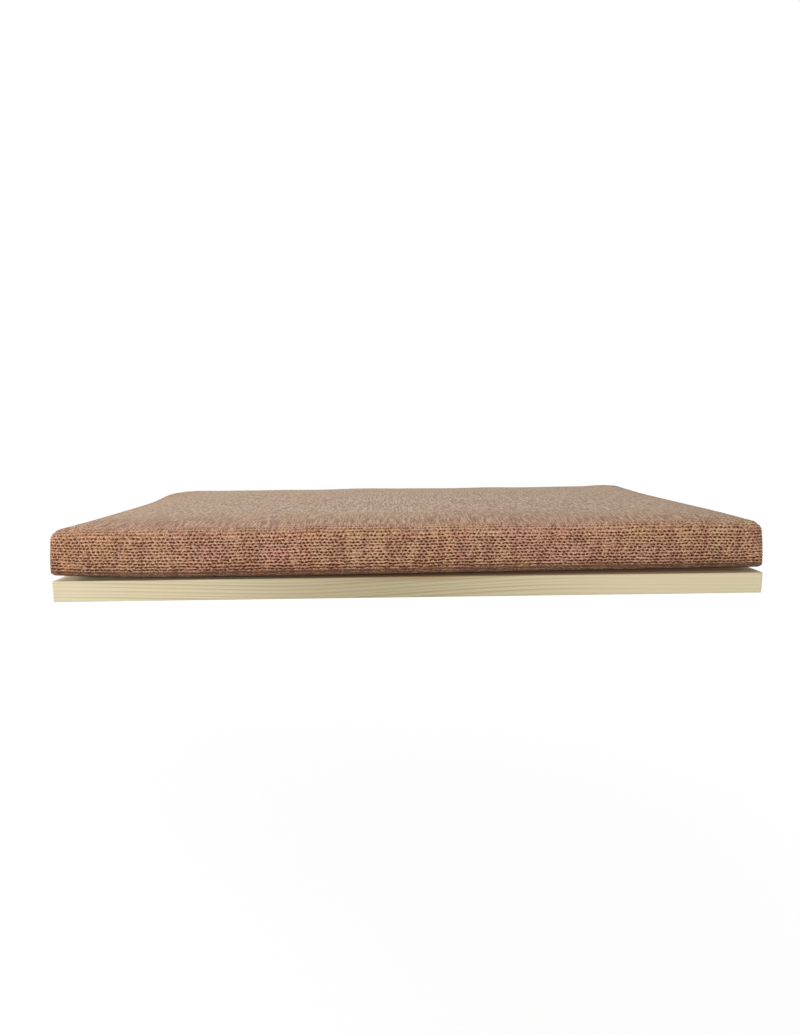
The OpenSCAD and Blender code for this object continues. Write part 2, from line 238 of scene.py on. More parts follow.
def pine_material():
    """Edge-glued staves, each cut from its own place beside the pith, with thin late wood in every ring."""
    g = Graph("pine")
    place = g.place()
    x, y, z = g.split(place)
    from_front = g.sub(y, BOARD_LOW.y)
    below_top = g.sub(BOARD_HIGH.z, z)
    staves_in = g.math("DIVIDE", g.sub(y, STAVE_START), STAVE_W)
    stave = g.math("FLOOR", staves_in)
    pick = g.random(g.add(stave, 0.37))
    late, swirl, knot_share = pine_rings(g, place, stave, pick)
    fibre = g.noise(g.stretched(place, 14, 900, 900), 1, 3, 0.6)
    blotch = g.noise(g.stretched(place, 4, 16, 30))
    early_wood = g.mix(pick, rgb(225, 213, 180), rgb(219, 204, 167))
    early_wood = g.mix(blotch, early_wood, rgb(215, 201, 167))
    in_front = g.smooth(stave, -STAVES, 1 - STAVES, 0.85, 0.2)
    # darker, greener wood along the middle of the front: partly heartwood tone, partly painted shade
    heart_and_shade = g.mul(g.bell(x, HEART_AND_SHADE_X, 7.5), in_front)
    early_wood = g.mix(heart_and_shade, early_wood, rgb(169, 157, 124))
    late_wood = g.mix(heart_and_shade, rgb(178, 152, 106), rgb(138, 121, 86))
    plain = g.mul(g.smooth(x, *PLAIN_RIGHT_X, 0.85, 0.2), g.smooth(x, *PLAIN_LEFT_X, 0.5, 1))
    wood = g.mix(g.mul(late, plain), early_wood, late_wood)
    # a darker band just under the top of the front face, in the middle: partly a wide late-wood ring,
    # partly painted shade cast by the cushion
    grain_and_shade_band = g.mul(g.bell(x, GRAIN_AND_SHADE_X, 18), g.smooth(below_top, *GRAIN_AND_SHADE_BELOW_TOP, 1, 0))
    grain_and_shade_band = g.mul(grain_and_shade_band, g.smooth(from_front, *GRAIN_AND_SHADE_DEPTH, 0.6, 0))
    wood = g.mix(grain_and_shade_band, wood, rgb(146, 126, 90))
    wood = g.tint(wood, (196, 176, 138), fibre, 0.5, 0.75, 0, 0.22)
    knot_ring = g.smooth(g.noise(g.stretched(place, 420, 420, 40), 1, 3), 0.35, 0.65)
    knot = g.mix(knot_ring, rgb(138, 92, 52), rgb(96, 58, 31))
    wood = g.mix(g.mul(swirl, 0.3), wood, rgb(196, 158, 108))
    wood = g.mix(knot_share, wood, knot)
    glue = g.math("ABSOLUTE", g.sub(g.math("FRACT", staves_in), 0.5))
    wood = g.tint(wood, (150, 122, 82), glue, 0.493, 0.4975, 0, 0.35)
    # painted shade: the board's top browned just behind its front edge, under the cushion, from the middle
    # rightwards
    shade_under_pad = g.mul(g.smooth(from_front, *SHADE_UNDER_PAD_Y, 0.72, 0), g.smooth(x, *SHADE_UNDER_PAD_X))
    shade_under_pad = g.mul(shade_under_pad, g.smooth(below_top, *SHADE_UNDER_PAD_BELOW_TOP, 1, 0))
    wood = g.mix(shade_under_pad, wood, rgb(176, 130, 96))
    relief = g.add(g.mul(late, 0.5), g.mul(fibre, 0.7))
    return g.surface(
        Base_Color=wood,
        Roughness=g.smooth(late, 0, 1, 0.62, 0.5),
        Normal=g.bump(relief, PINE_RELIEF, 0.6),
        Specular_IOR_Level=0.35,
    )


# Knit: a net of yarn round staggered holes. Its UV map counts stitches across and rows along.

STITCH_W = 3.5 * MM
ROW_H = 2.55 * MM
HOLE_W = 1.05 * MM
HOLE_H = 0.64 * MM
SHADED_RUN_ON_Z = (14 * MM, 34 * MM)
TIGHT_Z = (38 * MM, 50 * MM)
LOW_SHADE_Z = (12 * MM, 23 * MM)
SHADED_DEPTH = (8 * MM, 16 * MM)
SHEEN_DEPTH = (10 * MM, 85 * MM)
WALE_DEPTH = (10 * MM, 75 * MM)
RIGHT_TONE_X = (-50 * MM, 300 * MM)
LEFT_TONE_X = (-300 * MM, -200 * MM)
LEFT_HOLES_X = (-300 * MM, -100 * MM)
KNIT_RELIEF = 0.8 * MM


def knit_stitches(g, place, z, u, v):
    """The sunken holes, how far off they are, the ribs along the rows, and the plies of the yarn."""
    row = g.math("ROUND", v)
    cell = g.add(u, g.mul(g.odd(row), 0.5))
    stitch_id = g.join(g.math("FLOOR", cell), row)
    chance = g.split(g.random_at(stitch_id, "Color"))
    from_hole = g.add(g.sub(g.math("FRACT", cell), 0.5), g.smooth(chance[0], 0, 1, -0.14, 0.14))
    from_row = g.add(g.sub(v, row), g.smooth(chance[1], 0, 1, -0.12, 0.12))
    slant = g.mul(from_hole, g.smooth(chance[2], 0, 1, -0.3, 0.3))
    # painted shade: lower on the front the holes widen so they run together into dark lines along the rows
    low = g.smooth(z, *SHADED_RUN_ON_Z, 1, 0)
    loose = g.smooth(g.add(g.mul(g.random_at(stitch_id), 0.6), g.noise(place, 120)), 0.3, 1.2, 0.4, 1.5)
    loose = g.mul(loose, g.smooth(z, *TIGHT_Z, 1, 0.6))
    shaded_run_on = g.mul(from_hole, g.smooth(low, 0, 1, STITCH_W / HOLE_W, 0.62 * STITCH_W / HOLE_W))
    away = g.squares(shaded_run_on, g.mul(g.add(from_row, slant), ROW_H / HOLE_H))
    hole = g.math("MINIMUM", g.mul(g.math("EXPONENT", g.mul(away, -1)), loose), 1)
    rib = g.math("ABSOLUTE", g.mul(g.sub(v, row), 2))
    strand = g.math("FLOOR", v)
    lean = g.sub(1, g.mul(g.odd(strand), 2))
    off_strand = g.mul(g.sub(g.sub(v, strand), 0.5), lean)
    ply = g.math("SINE", g.mul(g.add(g.mul(u, 2), g.mul(off_strand, 1.3)), 2 * math.pi))
    return hole, away, rib, ply


def knit_yarn(g, place, x, fibre, away, rib, ply):
    """The yarn's colour: tones that change in patches and along the cushion, painted shade in the valleys
    along the hole rows, and dark and pale fibres.
    """
    patch = g.noise(place, 17, 2, 0.55)
    patch_too = g.noise(g.stretched(place, -1, 1, 1), 11, 2, 0.55)
    streak = g.noise(g.stretched(place, 110, 110, 30), 1, 2, 0.6)
    yarn = g.mix(g.smooth(patch, 0.4, 0.6), rgb(214, 160, 102), rgb(214, 150, 126))
    yarn = g.tint(yarn, (210, 170, 124), patch_too, 0.42, 0.62, 0, 0.85)
    yarn = g.tint(yarn, (206, 168, 126), x, *RIGHT_TONE_X, 0, 0.5)
    yarn = g.tint(yarn, (214, 158, 98), x, *LEFT_TONE_X, 0.55, 0)
    yarn = g.tint(yarn, (142, 84, 58), streak, 0.48, 0.6, 0, 0.8)
    yarn = g.tint(yarn, (246, 212, 186), away, 1.2, 4, 0, 0.5)
    # painted shade in the valleys along the hole rows
    yarn = g.tint(yarn, (138, 82, 52), rib, 0.1, 0.6, 0.38, 0)
    yarn = g.tint(yarn, (150, 90, 58), ply, -1, 0.4, 0.45, 0)
    yarn = g.tint(yarn, (124, 70, 42), fibre, 0.46, 0.64, 0, 0.85)
    return g.tint(yarn, (250, 214, 188), fibre, 0.32, 0.48, 0.75, 0)


def sheen_painted_top(g, place, from_front, colour, on_top, u, v, hole):
    """The knit's colour with a painted sheen paling its top away from the edges, and wales showing along
    the front.
    """
    x, y, _ = g.split(place)
    clump = g.noise(g.stretched(place, 620, 110, 150), 1, 2, 0.6)
    # painted sheen: the top is painted paler and greyer, most away from its edges
    painted_sheen = g.mix(g.smooth(clump, 0.34, 0.66), rgb(140, 116, 93), rgb(232, 211, 183))
    from_sides = g.math("MINIMUM", g.sub(COVER_HIGH.y, y), g.sub(COVER_HIGH.x, g.math("ABSOLUTE", x)))
    from_edge = g.math("MINIMUM", from_front, g.mul(from_sides, 2))
    sheen_share = g.smooth(from_edge, *SHEEN_DEPTH, 0.1, 0.64)
    colour = g.mix(g.mul(on_top, sheen_share), colour, painted_sheen)
    colour = g.mix(g.mul(on_top, g.smooth(hole, 0.14, 0.62, 0, 0.6)), colour, rgb(92, 58, 38))
    wale = g.noise(g.join(g.mul(u, 2.5), g.mul(v, 0.14)), 1, 2, 0.6)
    by_front = g.mul(on_top, g.smooth(from_front, *WALE_DEPTH, 1, 0.15))
    colour = g.mix(g.mul(by_front, g.smooth(wale, 0.36, 0.48, 0.45, 0)), colour, rgb(232, 198, 166))
    return g.mix(g.mul(by_front, g.smooth(wale, 0.5, 0.6, 0, 0.7)), colour, rgb(122, 74, 46))


def knit_material():
    """Yarn of changing tone round sunken holes, with painted shade towards the bottom and under the front
    roll, and a painted sheen paling the top away from its edges.
    """
    g = Graph("knit")
    place = g.place()
    x, y, z = g.split(place)
    from_front = g.sub(y, COVER_LOW.y)
    u, v, _ = g.split(g.node("ShaderNodeUVMap", uv_map="weave"))
    sway = g.noise(place, 34)
    sway_too = g.noise(g.stretched(place, -1, 1, -1), 29)
    v = g.add(v, g.mul(g.sub(sway, 0.5), 0.7))
    u = g.add(u, g.mul(g.sub(sway_too, 0.5), 2))
    hole, away, rib, ply = knit_stitches(g, place, z, u, v)
    fibre = g.noise(g.join(g.mul(u, 2.6), g.mul(v, 2.4)), 1, 3, 0.75)
    yarn = knit_yarn(g, place, x, fibre, away, rib, ply)
    sunk = g.mul(g.smooth(hole, 0.14, 0.62), g.smooth(x, *LEFT_HOLES_X, 0.88, 1))
    colour = g.mix(sunk, yarn, rgb(84, 34, 8))
    # painted shade: the knit darker towards the bottom, in patches
    low_shade = g.mul(g.smooth(z, *LOW_SHADE_Z, 0.75, 0), g.smooth(fibre, 0.3, 0.56, 0.4, 1))
    colour = g.mix(low_shade, colour, rgb(100, 66, 48))
    facing_up = g.split(g.node("ShaderNodeTexCoord", output="Normal"))[2]
    # painted shadow: the roll under the front edge is darkened to a deep brown where it meets the board
    under_roll_shade = g.mul(g.smooth(facing_up, -0.9, -0.45, 0.9, 0), g.smooth(facing_up, -0.998, -0.96))
    under_roll_shade = g.mul(under_roll_shade, g.smooth(from_front, *SHADED_DEPTH, 1, 0))
    colour = g.mix(under_roll_shade, colour, rgb(44, 24, 14))
    on_top = g.smooth(facing_up, 0.3, 0.98)
    colour = sheen_painted_top(g, place, from_front, colour, on_top, u, v, hole)
    relief = g.add(g.mul(g.math("SINE", g.mul(rib, QUARTER)), 0.5), g.mul(ply, 0.16))
    height = g.add(relief, g.sub(g.mul(fibre, 0.4), g.mul(hole, 1.1)))
    return g.surface(
        Base_Color=colour,
        Roughness=0.95,
        Normal=g.bump(height, KNIT_RELIEF, 0.9),
        Specular_IOR_Level=0.1,
        Sheen_Weight=g.smooth(facing_up, 0.3, 1, 0.06, 0.4),
        Sheen_Roughness=0.45,
        Sheen_Tint=rgb(236, 222, 206),
    )


# Other materials

LINING_THREAD_W = 0.7 * MM
TAPE_THREAD_W = 0.5 * MM
WEAVE_RELIEF = 0.18 * MM
FOAM_RELIEF = 0.5 * MM
STEEL_RELIEF = 0.03 * MM
BRASS_RELIEF = 0.02 * MM
NYLON_RELIEF = 0.03 * MM
THREAD_RELIEF = 0.05 * MM
TWIST_L = 0.5 * MM


def woven_material(name, warp, weft, thread_w):
    """Plain weave at a given thread width, from two thread colours."""
    g = Graph(name)
    place = g.place()
    x, y, z = g.split(place)
    across = g.add(y, z)
    a = g.math("SINE", g.mul(x, math.pi / thread_w))
    b = g.math("SINE", g.mul(across, math.pi / thread_w))
    over = g.mul(a, b)
    slub = g.noise(g.stretched(place, 40, 900, 900))
    fade = g.noise(place, 14, 3)
    colour = g.mix(g.smooth(over, -0.5, 0.5), warp, weft)
    colour = g.mix(g.smooth(slub, 0.35, 0.7, 0, 0.35), colour, weft)
    colour = g.mix(g.smooth(fade, 0.3, 0.7, 0, 0.25), colour, warp)
    height = g.add(g.math("ABSOLUTE", over), g.mul(slub, 0.4))
    return g.surface(
        Base_Color=colour,
        Roughness=0.88,
        Normal=g.bump(height, WEAVE_RELIEF, 0.8),
        Specular_IOR_Level=0.2,
        Sheen_Weight=0.1,
        Sheen_Roughness=0.5,
    )


def foam_material():
    """Open cells, yellowed in places."""
    g = Graph("foam")
    place = g.place()
    cells = g.node("ShaderNodeTexVoronoi", {"Vector": place, "Scale": 900})
    age = g.noise(place, 20, 3)
    colour = g.mix(g.smooth(cells, 0.1, 0.5), rgb(204, 186, 138), rgb(238, 228, 196))
    colour = g.tint(colour, (226, 204, 150), age, 0.4, 0.7, 0, 0.4)
    return g.surface(Base_Color=colour, Roughness=0.95, Normal=g.bump(cells, FOAM_RELIEF, 0.8))


def plated_steel_material():
    """Bright zinc plating: fine drawn lines, a faint bluish and yellowish bloom, and a small spangle."""
    g = Graph("plated_steel")
    place = g.place()
    drawn = g.noise(g.stretched(place, 2600, 30, 2600))
    bloom = g.noise(place, 60, 3)
    spangle = g.node("ShaderNodeTexVoronoi", {"Vector": place, "Scale": 420})
    colour = g.mix(g.smooth(bloom, 0.35, 0.65), rgb(166, 170, 178), rgb(174, 171, 160))
    colour = g.tint(colour, (146, 150, 158), spangle, 0.2, 0.6, 0, 0.25)
    rough = g.add(g.smooth(bloom, 0.3, 0.7, 0.26, 0.4), g.mul(drawn, 0.1))
    bump = g.bump(drawn, STEEL_RELIEF, 0.5)
    return g.surface(Base_Color=colour, Metallic=1, Roughness=rough, Normal=bump)


def antique_brass_material():
    """Brass with dull patches and fine scratches."""
    g = Graph("zip_metal")
    place = g.place()
    tarnish = g.noise(place, 260, 3, 0.6)
    scratch = g.noise(g.stretched(place, 300, 4000, 4000))
    colour = g.mix(g.smooth(tarnish, 0.3, 0.7), rgb(150, 120, 76), rgb(176, 146, 94))
    rough = g.add(g.smooth(tarnish, 0.3, 0.7, 0.38, 0.28), g.mul(scratch, 0.12))
    bump = g.bump(scratch, BRASS_RELIEF, 0.5)
    return g.surface(Base_Color=colour, Metallic=1, Roughness=rough, Normal=bump)


def nylon_material(name, dark, light, roughness):
    """Moulded or drawn nylon, with a slight change of tone along it."""
    g = Graph(name)
    place = g.place()
    tone = g.noise(g.stretched(place, 220, 600, 600), 1, 3)
    grain = g.noise(place, 3000)
    return g.surface(
        Base_Color=g.mix(tone, dark, light),
        Roughness=g.smooth(tone, 0.3, 0.7, roughness, roughness + 0.12),
        Normal=g.bump(grain, NYLON_RELIEF, 0.5),
        Specular_IOR_Level=0.4,
    )


def thread_material():
    """Twisted sewing thread."""
    g = Graph("thread")
    x, y, z = g.split(g.place())
    twist = g.math("SINE", g.mul(g.add(x, g.add(y, z)), 2 * math.pi / TWIST_L))
    colour = g.mix(g.smooth(twist, -0.6, 0.6), rgb(122, 82, 58), rgb(178, 134, 104))
    return g.surface(
        Base_Color=colour,
        Roughness=0.7,
        Normal=g.bump(twist, THREAD_RELIEF, 0.7),
        Sheen_Weight=0.2,
    )


PINE = pine_material()
KNIT = knit_material()
LINING = woven_material("lining", rgb(104, 84, 68), rgb(132, 109, 90), LINING_THREAD_W)
TAPE = woven_material("zip_tape", rgb(98, 68, 49), rgb(124, 89, 66), TAPE_THREAD_W)
FOAM = foam_material()
STEEL = plated_steel_material()
BRASS = antique_brass_material()
HOOKS = nylon_material("hook_tape", rgb(62, 51, 44), rgb(84, 71, 62), 0.5)
LOOPS = nylon_material("loop_tape", rgb(70, 57, 49), rgb(104, 88, 77), 0.75)
COIL = nylon_material("zip_coil", rgb(88, 61, 44), rgb(118, 84, 62), 0.38)
THREAD = thread_material()


# Mesh helpers

def smoothstep(t):
    t = np.clip(t, 0.0, 1.0)
    return t * t * (3 - 2 * t)


def add_object(name, data):
    made = bpy.data.objects.new(name, data)
    SCENE.collection.objects.link(made)
    return made


def add_piece(name, mesh, material, body, nodes, sharp=None):
    """Links a mesh as a piece that rides on a body and stands for the named CAD nodes."""
    mesh.materials.append(material)
    mesh.polygons.foreach_set("use_smooth", [True] * len(mesh.polygons))
    if sharp is not None:
        mesh.set_sharp_from_angle(angle=math.radians(sharp))
    piece = add_object(name, mesh)
    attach(piece, body)
    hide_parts(*nodes)
    return piece


def mesh_from(name, points, faces):
    mesh = bpy.data.meshes.new(name)
    mesh.from_pydata(np.asarray(points, float).tolist(), [], [list(map(int, f)) for f in faces])
    mesh.update()
    return mesh


def clean_copy(node):
    """A rigid node's mesh with its doubled points merged and its flat faces joined."""
    mesh = bpy.data.meshes.new(node + "_mesh")
    b = bmesh.new()
    b.from_mesh(frame["nodes"][node].data)
    bmesh.ops.remove_doubles(b, verts=b.verts, dist=SAME_POINT)
    bmesh.ops.dissolve_limit(b, angle_limit=SAME_FACE, verts=b.verts, edges=b.edges)
    b.to_mesh(mesh)
    b.free()
    return mesh


def grid_quads(ids):
    """Faces between the neighbours in a grid of point numbers."""
    return np.stack([ids[:-1, :-1], ids[1:, :-1], ids[1:, 1:], ids[:-1, 1:]], -1).reshape(-1, 4)


def even_grid(low, high, counts):
    return np.meshgrid(*map(np.linspace, low, high, counts), indexing="ij")


def slab(name, lower, upper):
    """A thin closed sheet between two grids of points. upper lies where the grid's axes turn to."""
    nx, ny, _ = lower.shape
    ids = np.arange(nx * ny).reshape(nx, ny)
    quads = grid_quads(ids)
    rim = np.concatenate([ids[:-1, 0], ids[-1, :-1], ids[:0:-1, -1], ids[0, :0:-1]])
    after = np.roll(rim, -1)
    sides = np.stack([rim, after, after + nx * ny, rim + nx * ny], 1)
    faces = np.concatenate([quads[:, ::-1], quads + nx * ny, sides])
    return mesh_from(name, np.concatenate([lower.reshape(-1, 3), upper.reshape(-1, 3)]), faces)


def tubes(name, paths, radius, sides, beside):
    """One mesh of many closed tubes. paths is an array of runs, points and coordinates, and beside a
    direction that no run follows."""
    runs, steps, _ = paths.shape
    along = np.gradient(paths, axis=1)
    along /= np.linalg.norm(along, axis=2, keepdims=True)
    one = np.cross(along, beside)
    one /= np.linalg.norm(one, axis=2, keepdims=True)
    two = np.cross(along, one)
    turn = np.arange(sides) * 2 * math.pi / sides
    ring = one[:, :, None] * np.cos(turn)[:, None] + two[:, :, None] * np.sin(turn)[:, None]
    points = paths[:, :, None] + radius * ring
    ids = np.arange(runs * steps * sides).reshape(runs, steps, sides)
    nearer, further = ids[:, :-1], ids[:, 1:]
    walls = np.stack([nearer, np.roll(nearer, -1, 2), np.roll(further, -1, 2), further], -1).reshape(-1, 4)
    caps = np.concatenate([ids[:, 0, ::-1], ids[:, -1]])
    return mesh_from(name, points.reshape(-1, 3), walls.tolist() + caps.tolist())


# Cushion: one closed grid over a rounded box

TOP_ROLL_R = 10.5 * MM
UNDER_ROLL_R = 5 * MM
SIDE_SWELL = 0.8 * MM
FRONT_DRAW_IN = 2 * MM
END_DRAW_IN = 2 * MM
CROWN = 3 * MM
FRONT_PUFF = 1.8 * MM
REAR_SINK = 1.5 * MM
CORNER_LIFT = {(-1, -1): 3.6 * MM, (1, -1): 0.6 * MM, (-1, 1): 2 * MM, (1, 1): 2 * MM}
CORNER_REACH = 70 * MM
FRONT_SPREAD = 0.6
FRONT_SETTLE = 0.4 * MM
SETTLE_X = -90 * MM
SETTLE_W = 140 * MM
SETTLE_FROM = 0.72
SETTLE_END = 0.97
SETTLE_FADE = 0.2
FRONT_SKEW = 5 * MM
SKEW_FROM = 0.2
LEFT_SKEW = 3 * MM
RIGHT_SKEW = 1.8 * MM
END_FROM = 0.82
LEFT_END_SAG = 0.6 * MM
SAG_W = 70 * MM
END_RIDGE = {-1: (4.6 * MM, 66 * MM), 1: (1.5 * MM, 45 * MM)}
RIDGE_W = 13 * MM
RIDGE_L = 50 * MM
CORNER_PERK = {(-1, -1): 0.5 * MM, (1, -1): -1 * MM, (-1, 1): 0.2 * MM, (1, 1): 2 * MM}
PERK_REACH = 40 * MM
WAVE_H = 0.28 * MM
WAVES = [(1.0, 41, 17, 0.8), (1.0, 23, -38, 2.1), (0.6, 71, 55, 4.0)]
KNIT_T = 1.6 * MM
RIB = 0.42 * MM
FOAM_INSET = 3.6 * MM
SEAM_DEPTH = 0.8 * MM
SEAM_W = 1.6 * MM
SEAM_TILT = 0.3
PUCKER = 0.3
PUCKER_L = 9 * MM
OPENING_GAP = 0.8 * MM

lining_low, lining_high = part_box("cover_lining")
pad_low = np.array([COVER_LOW.x, COVER_LOW.y, lining_low.z])
pad_high = np.array([COVER_HIGH.x, COVER_HIGH.y, COVER_HIGH.z - CROWN])
PAD_HALF = (pad_high - pad_low) / 2
PAD_MIDDLE = (pad_high + pad_low) / 2
FLAT_LOW = UNDER_ROLL_R - PAD_HALF[2]
FLAT_HIGH = PAD_HALF[2] - TOP_ROLL_R

slot_low, slot_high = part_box("zip_bottom_stop")[0].x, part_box("zip_top_stops")[1].x
slider_low, slider_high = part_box("zip_slider")
zip_z = (slider_low.z + slider_high.z) / 2
slot_half_h = (slider_high.z - slider_low.z) / 2 + OPENING_GAP
slot_z = zip_z - PAD_MIDDLE[2]
hem_half_w = (lining_high.x - lining_low.x) / 2
hem_half_d = (lining_high.y - lining_low.y) / 2


def roll_radius(level):
    """Radius of the roll at a height, given as a share of the sides' flat part."""
    return UNDER_ROLL_R + (TOP_ROLL_R - UNDER_ROLL_R) * level


def level_at(z):
    return (z - FLAT_LOW) / (FLAT_HIGH - FLAT_LOW)


def stations(cells, roll_steps, snap=()):
    """Places along one axis: shares of the flat length between two rolls, and turns into the rolls."""
    shares = np.linspace(-1, 1, cells + 1)
    for share in snap:
        shares[np.argmin(np.abs(shares - share))] = share
    turn = np.linspace(0, QUARTER / 2, roll_steps + 1)[1:]
    edge = np.ones(roll_steps)
    flat = np.zeros(cells + 1)
    return np.concatenate([-edge, shares, edge]), np.concatenate([-turn[::-1], flat, turn])


class PadGrid:
    """Surface points of the cushion on stations along x, y and z, shared along the six faces' edges."""

    def __init__(self, cells, roll_steps, snaps=((), (), ())):
        lines = [stations(*given) for given in zip(cells, roll_steps, snaps)]
        counts = [len(shares) for shares, _ in lines]
        keys = {}
        for axis in range(3):
            for side in (-1, 1):
                b, c = (axis + 1) % 3, (axis + 2) % 3
                index = [None, None, None]
                index[b], index[c] = np.meshgrid(np.arange(counts[b]), np.arange(counts[c]), indexing="ij")
                index[axis] = np.full_like(index[b], 0 if side < 0 else counts[axis] - 1)
                keys[axis, side] = index[0] + counts[0] * (index[1] + counts[1] * index[2])
        found, inverse = np.unique(np.concatenate([k.ravel() for k in keys.values()]), return_inverse=True)
        self.ids, start = {}, 0
        for face, key in keys.items():
            self.ids[face] = inverse[start:start + key.size].reshape(key.shape)
            start += key.size
        lattice = (found % counts[0], found // counts[0] % counts[1], found // (counts[0] * counts[1]))
        shares = np.stack([line[0][at] for line, at in zip(lines, lattice)], 1)
        turns = np.stack([line[1][at] for line, at in zip(lines, lattice)], 1)
        level = (shares[:, 2] + 1) / 2
        radius = roll_radius(level)[:, None]
        core = shares * (PAD_HALF - radius)
        core[:, 2] = FLAT_LOW + level * (FLAT_HIGH - FLAT_LOW)
        out = np.tan(turns)
        self.normals = out / np.linalg.norm(out, axis=1, keepdims=True)
        self.points = core + radius * self.normals
        flat = np.array([PAD_HALF[0] - TOP_ROLL_R, PAD_HALF[1] - TOP_ROLL_R, (FLAT_HIGH - FLAT_LOW) / 2])
        self.lines = [flat[axis] * line[0] + TOP_ROLL_R * line[1] for axis, line in enumerate(lines)]
        self.arcs = np.stack([line[at] for line, at in zip(self.lines, lattice)], 1)

    def quads(self, face):
        quads = grid_quads(self.ids[face])
        return quads if face[1] > 0 else quads[:, ::-1]


def weave_place(grid, face, points):
    """Length across and along the knit at points of one face. Rows run on from the top over the front and
    rear, and round the upright corners onto the ends."""
    axis, side = face
    reach_x, reach_y, reach_z = (line[-1] for line in grid.lines)
    x, y, z = grid.arcs[points].T
    down = reach_y + reach_z - z
    if axis == 2:
        return (x, y) if side > 0 else (x, -2 * reach_z - 2 * reach_y - y)
    if axis == 1:
        return (x, side * down)
    return side * (reach_x + reach_y + y), -down


def shaped(points, normals):
    """The cushion's form: swelling, drawn-in sides, crown, lifted corners, and the slack of a used pad."""
    p = points.copy()
    x, y, z = (points / PAD_HALF).T
    nx, ny, nz = normals.T
    upright = np.sqrt(nx ** 2 + ny ** 2)
    low, high = (1 - z) / 2, (1 + z) / 2
    swell = SIDE_SWELL * (upright * (1 - z ** 2) - 1)
    p[:, 0] += nx * (swell - END_DRAW_IN * (1 - y ** 2))
    p[:, 1] += ny * swell + np.maximum(-ny, 0) * FRONT_DRAW_IN * (1 - x ** 2)
    p[:, 1] += FRONT_SKEW * x * smoothstep((SKEW_FROM - y) / (SKEW_FROM + 1))
    at_end = smoothstep((np.abs(x) - END_FROM) / (1 - END_FROM))
    p[:, 0] -= np.where(x < 0, LEFT_SKEW, RIGHT_SKEW) * y * at_end
    puff = FRONT_PUFF * (1 - y) / 2 - REAR_SINK * (1 + y) / 2
    p[:, 2] += puff * high + CROWN * (1 - x ** 2) * (1 - y ** 2) * np.maximum(z, 0)
    inset = (1 - np.abs(points[:, :2] / PAD_HALF[:2])) * PAD_HALF[:2]
    from_corner = np.hypot(*inset.T)
    from_lifted = np.hypot(inset[:, 0] * np.where(y < 0, FRONT_SPREAD, 1), inset[:, 1])
    for corner, lift in CORNER_LIFT.items():
        here = (corner[0] * x > 0) & (corner[1] * y > 0)
        p[:, 2] += here * lift * low * np.maximum(0, 1 - from_lifted / CORNER_REACH) ** 2
        p[:, 2] += here * CORNER_PERK[corner] * high * np.exp(-(from_corner / PERK_REACH) ** 2)
    for side, (rise, from_rear) in END_RIDGE.items():
        along = (PAD_HALF[1] - points[:, 1] - from_rear) / RIDGE_L
        p[:, 2] += rise * high * np.exp(-(inset[:, 0] / RIDGE_W) ** 2 - along ** 2) * (side * x > 0)
    settle = 0.5 + np.exp(-((points[:, 0] - SETTLE_X) / SETTLE_W) ** 2)
    settle *= smoothstep((-y - SETTLE_FROM) / SETTLE_FADE)
    settle *= smoothstep((SETTLE_END - np.abs(x)) / SETTLE_FADE)
    p[:, 2] -= FRONT_SETTLE * settle * low
    sag = np.exp(-((points[:, 0] + PAD_HALF[0]) / SAG_W) ** 2)
    p[:, 2] -= LEFT_END_SAG * high * sag * (1 - y ** 2)
    waves = sum(size * np.sin(points[:, 0] * a + points[:, 1] * b + start) for size, a, b, start in WAVES)
    p[:, 2] += WAVE_H * waves * np.maximum(nz, 0) * high * (1 - at_end)
    return p


CLOTH_GRID = ((48, 27, 5), (3, 3, 3))
FOAM_GRID = ((36, 20, 4), (3, 3, 3))
KNIT_GRID = ((126, 70, 38), (6, 12, 12))
CLOTH_FRAMES = 20
CLOTH_OUT = 1.8 * MM
CLOTH_IN = 0.6 * MM
CLOTH_SLIP = 1.0 * MM
CLOTH_SHRINK = 1.2 * MM
HELD_TILT = 0.3
SEAM_HOLD = 0.55
ZIP_STILL = 14 * MM
ZIP_STILL_FADE = 6 * MM


def held_shares(grid):
    """How firmly each point is held: the underside fully, the end panels' upper seams in part."""
    under = np.where(grid.normals[:, 2] < -HELD_TILT, 1.0, 0.0)
    seam = np.abs(grid.normals[:, 0]) * grid.normals[:, 2] > HELD_TILT
    return np.maximum(under, np.where(seam, SEAM_HOLD, 0.0))


def pressed_out(grid, start, hold):
    """How far air pressure under the cover moves each point of a coarse cushion, from Blender's cloth."""
    faces = np.concatenate([grid.quads(f) for f in grid.ids])
    mesh = mesh_from("pressing", start + PAD_MIDDLE, faces)
    pad = add_object("pressing", mesh)
    held = pad.vertex_groups.new(name="held")
    for i, weight in enumerate(hold):
        held.add([i], float(weight), "REPLACE")
    cloth = pad.modifiers.new("cloth", "CLOTH")
    settings = cloth.settings
    settings.quality = 6
    settings.mass = 0.3
    settings.tension_stiffness = 18
    settings.compression_stiffness = 18
    settings.shear_stiffness = 6
    settings.bending_stiffness = 1.5
    settings.use_pressure = True
    settings.uniform_pressure_force = 4
    settings.vertex_group_mass = "held"
    settings.effector_weights.gravity = 0
    cloth.collision_settings.use_collision = False
    cloth.point_cache.frame_end = CLOTH_FRAMES
    for step in range(1, CLOTH_FRAMES + 1):
        SCENE.frame_set(step)
    done = pad.evaluated_get(bpy.context.evaluated_depsgraph_get()).to_mesh()
    moved = np.empty(len(start) * 3, np.float32)
    done.vertices.foreach_get("co", moved)
    SCENE.frame_set(1)
    bpy.data.objects.remove(pad)
    return moved.reshape(-1, 3) - (start + PAD_MIDDLE)


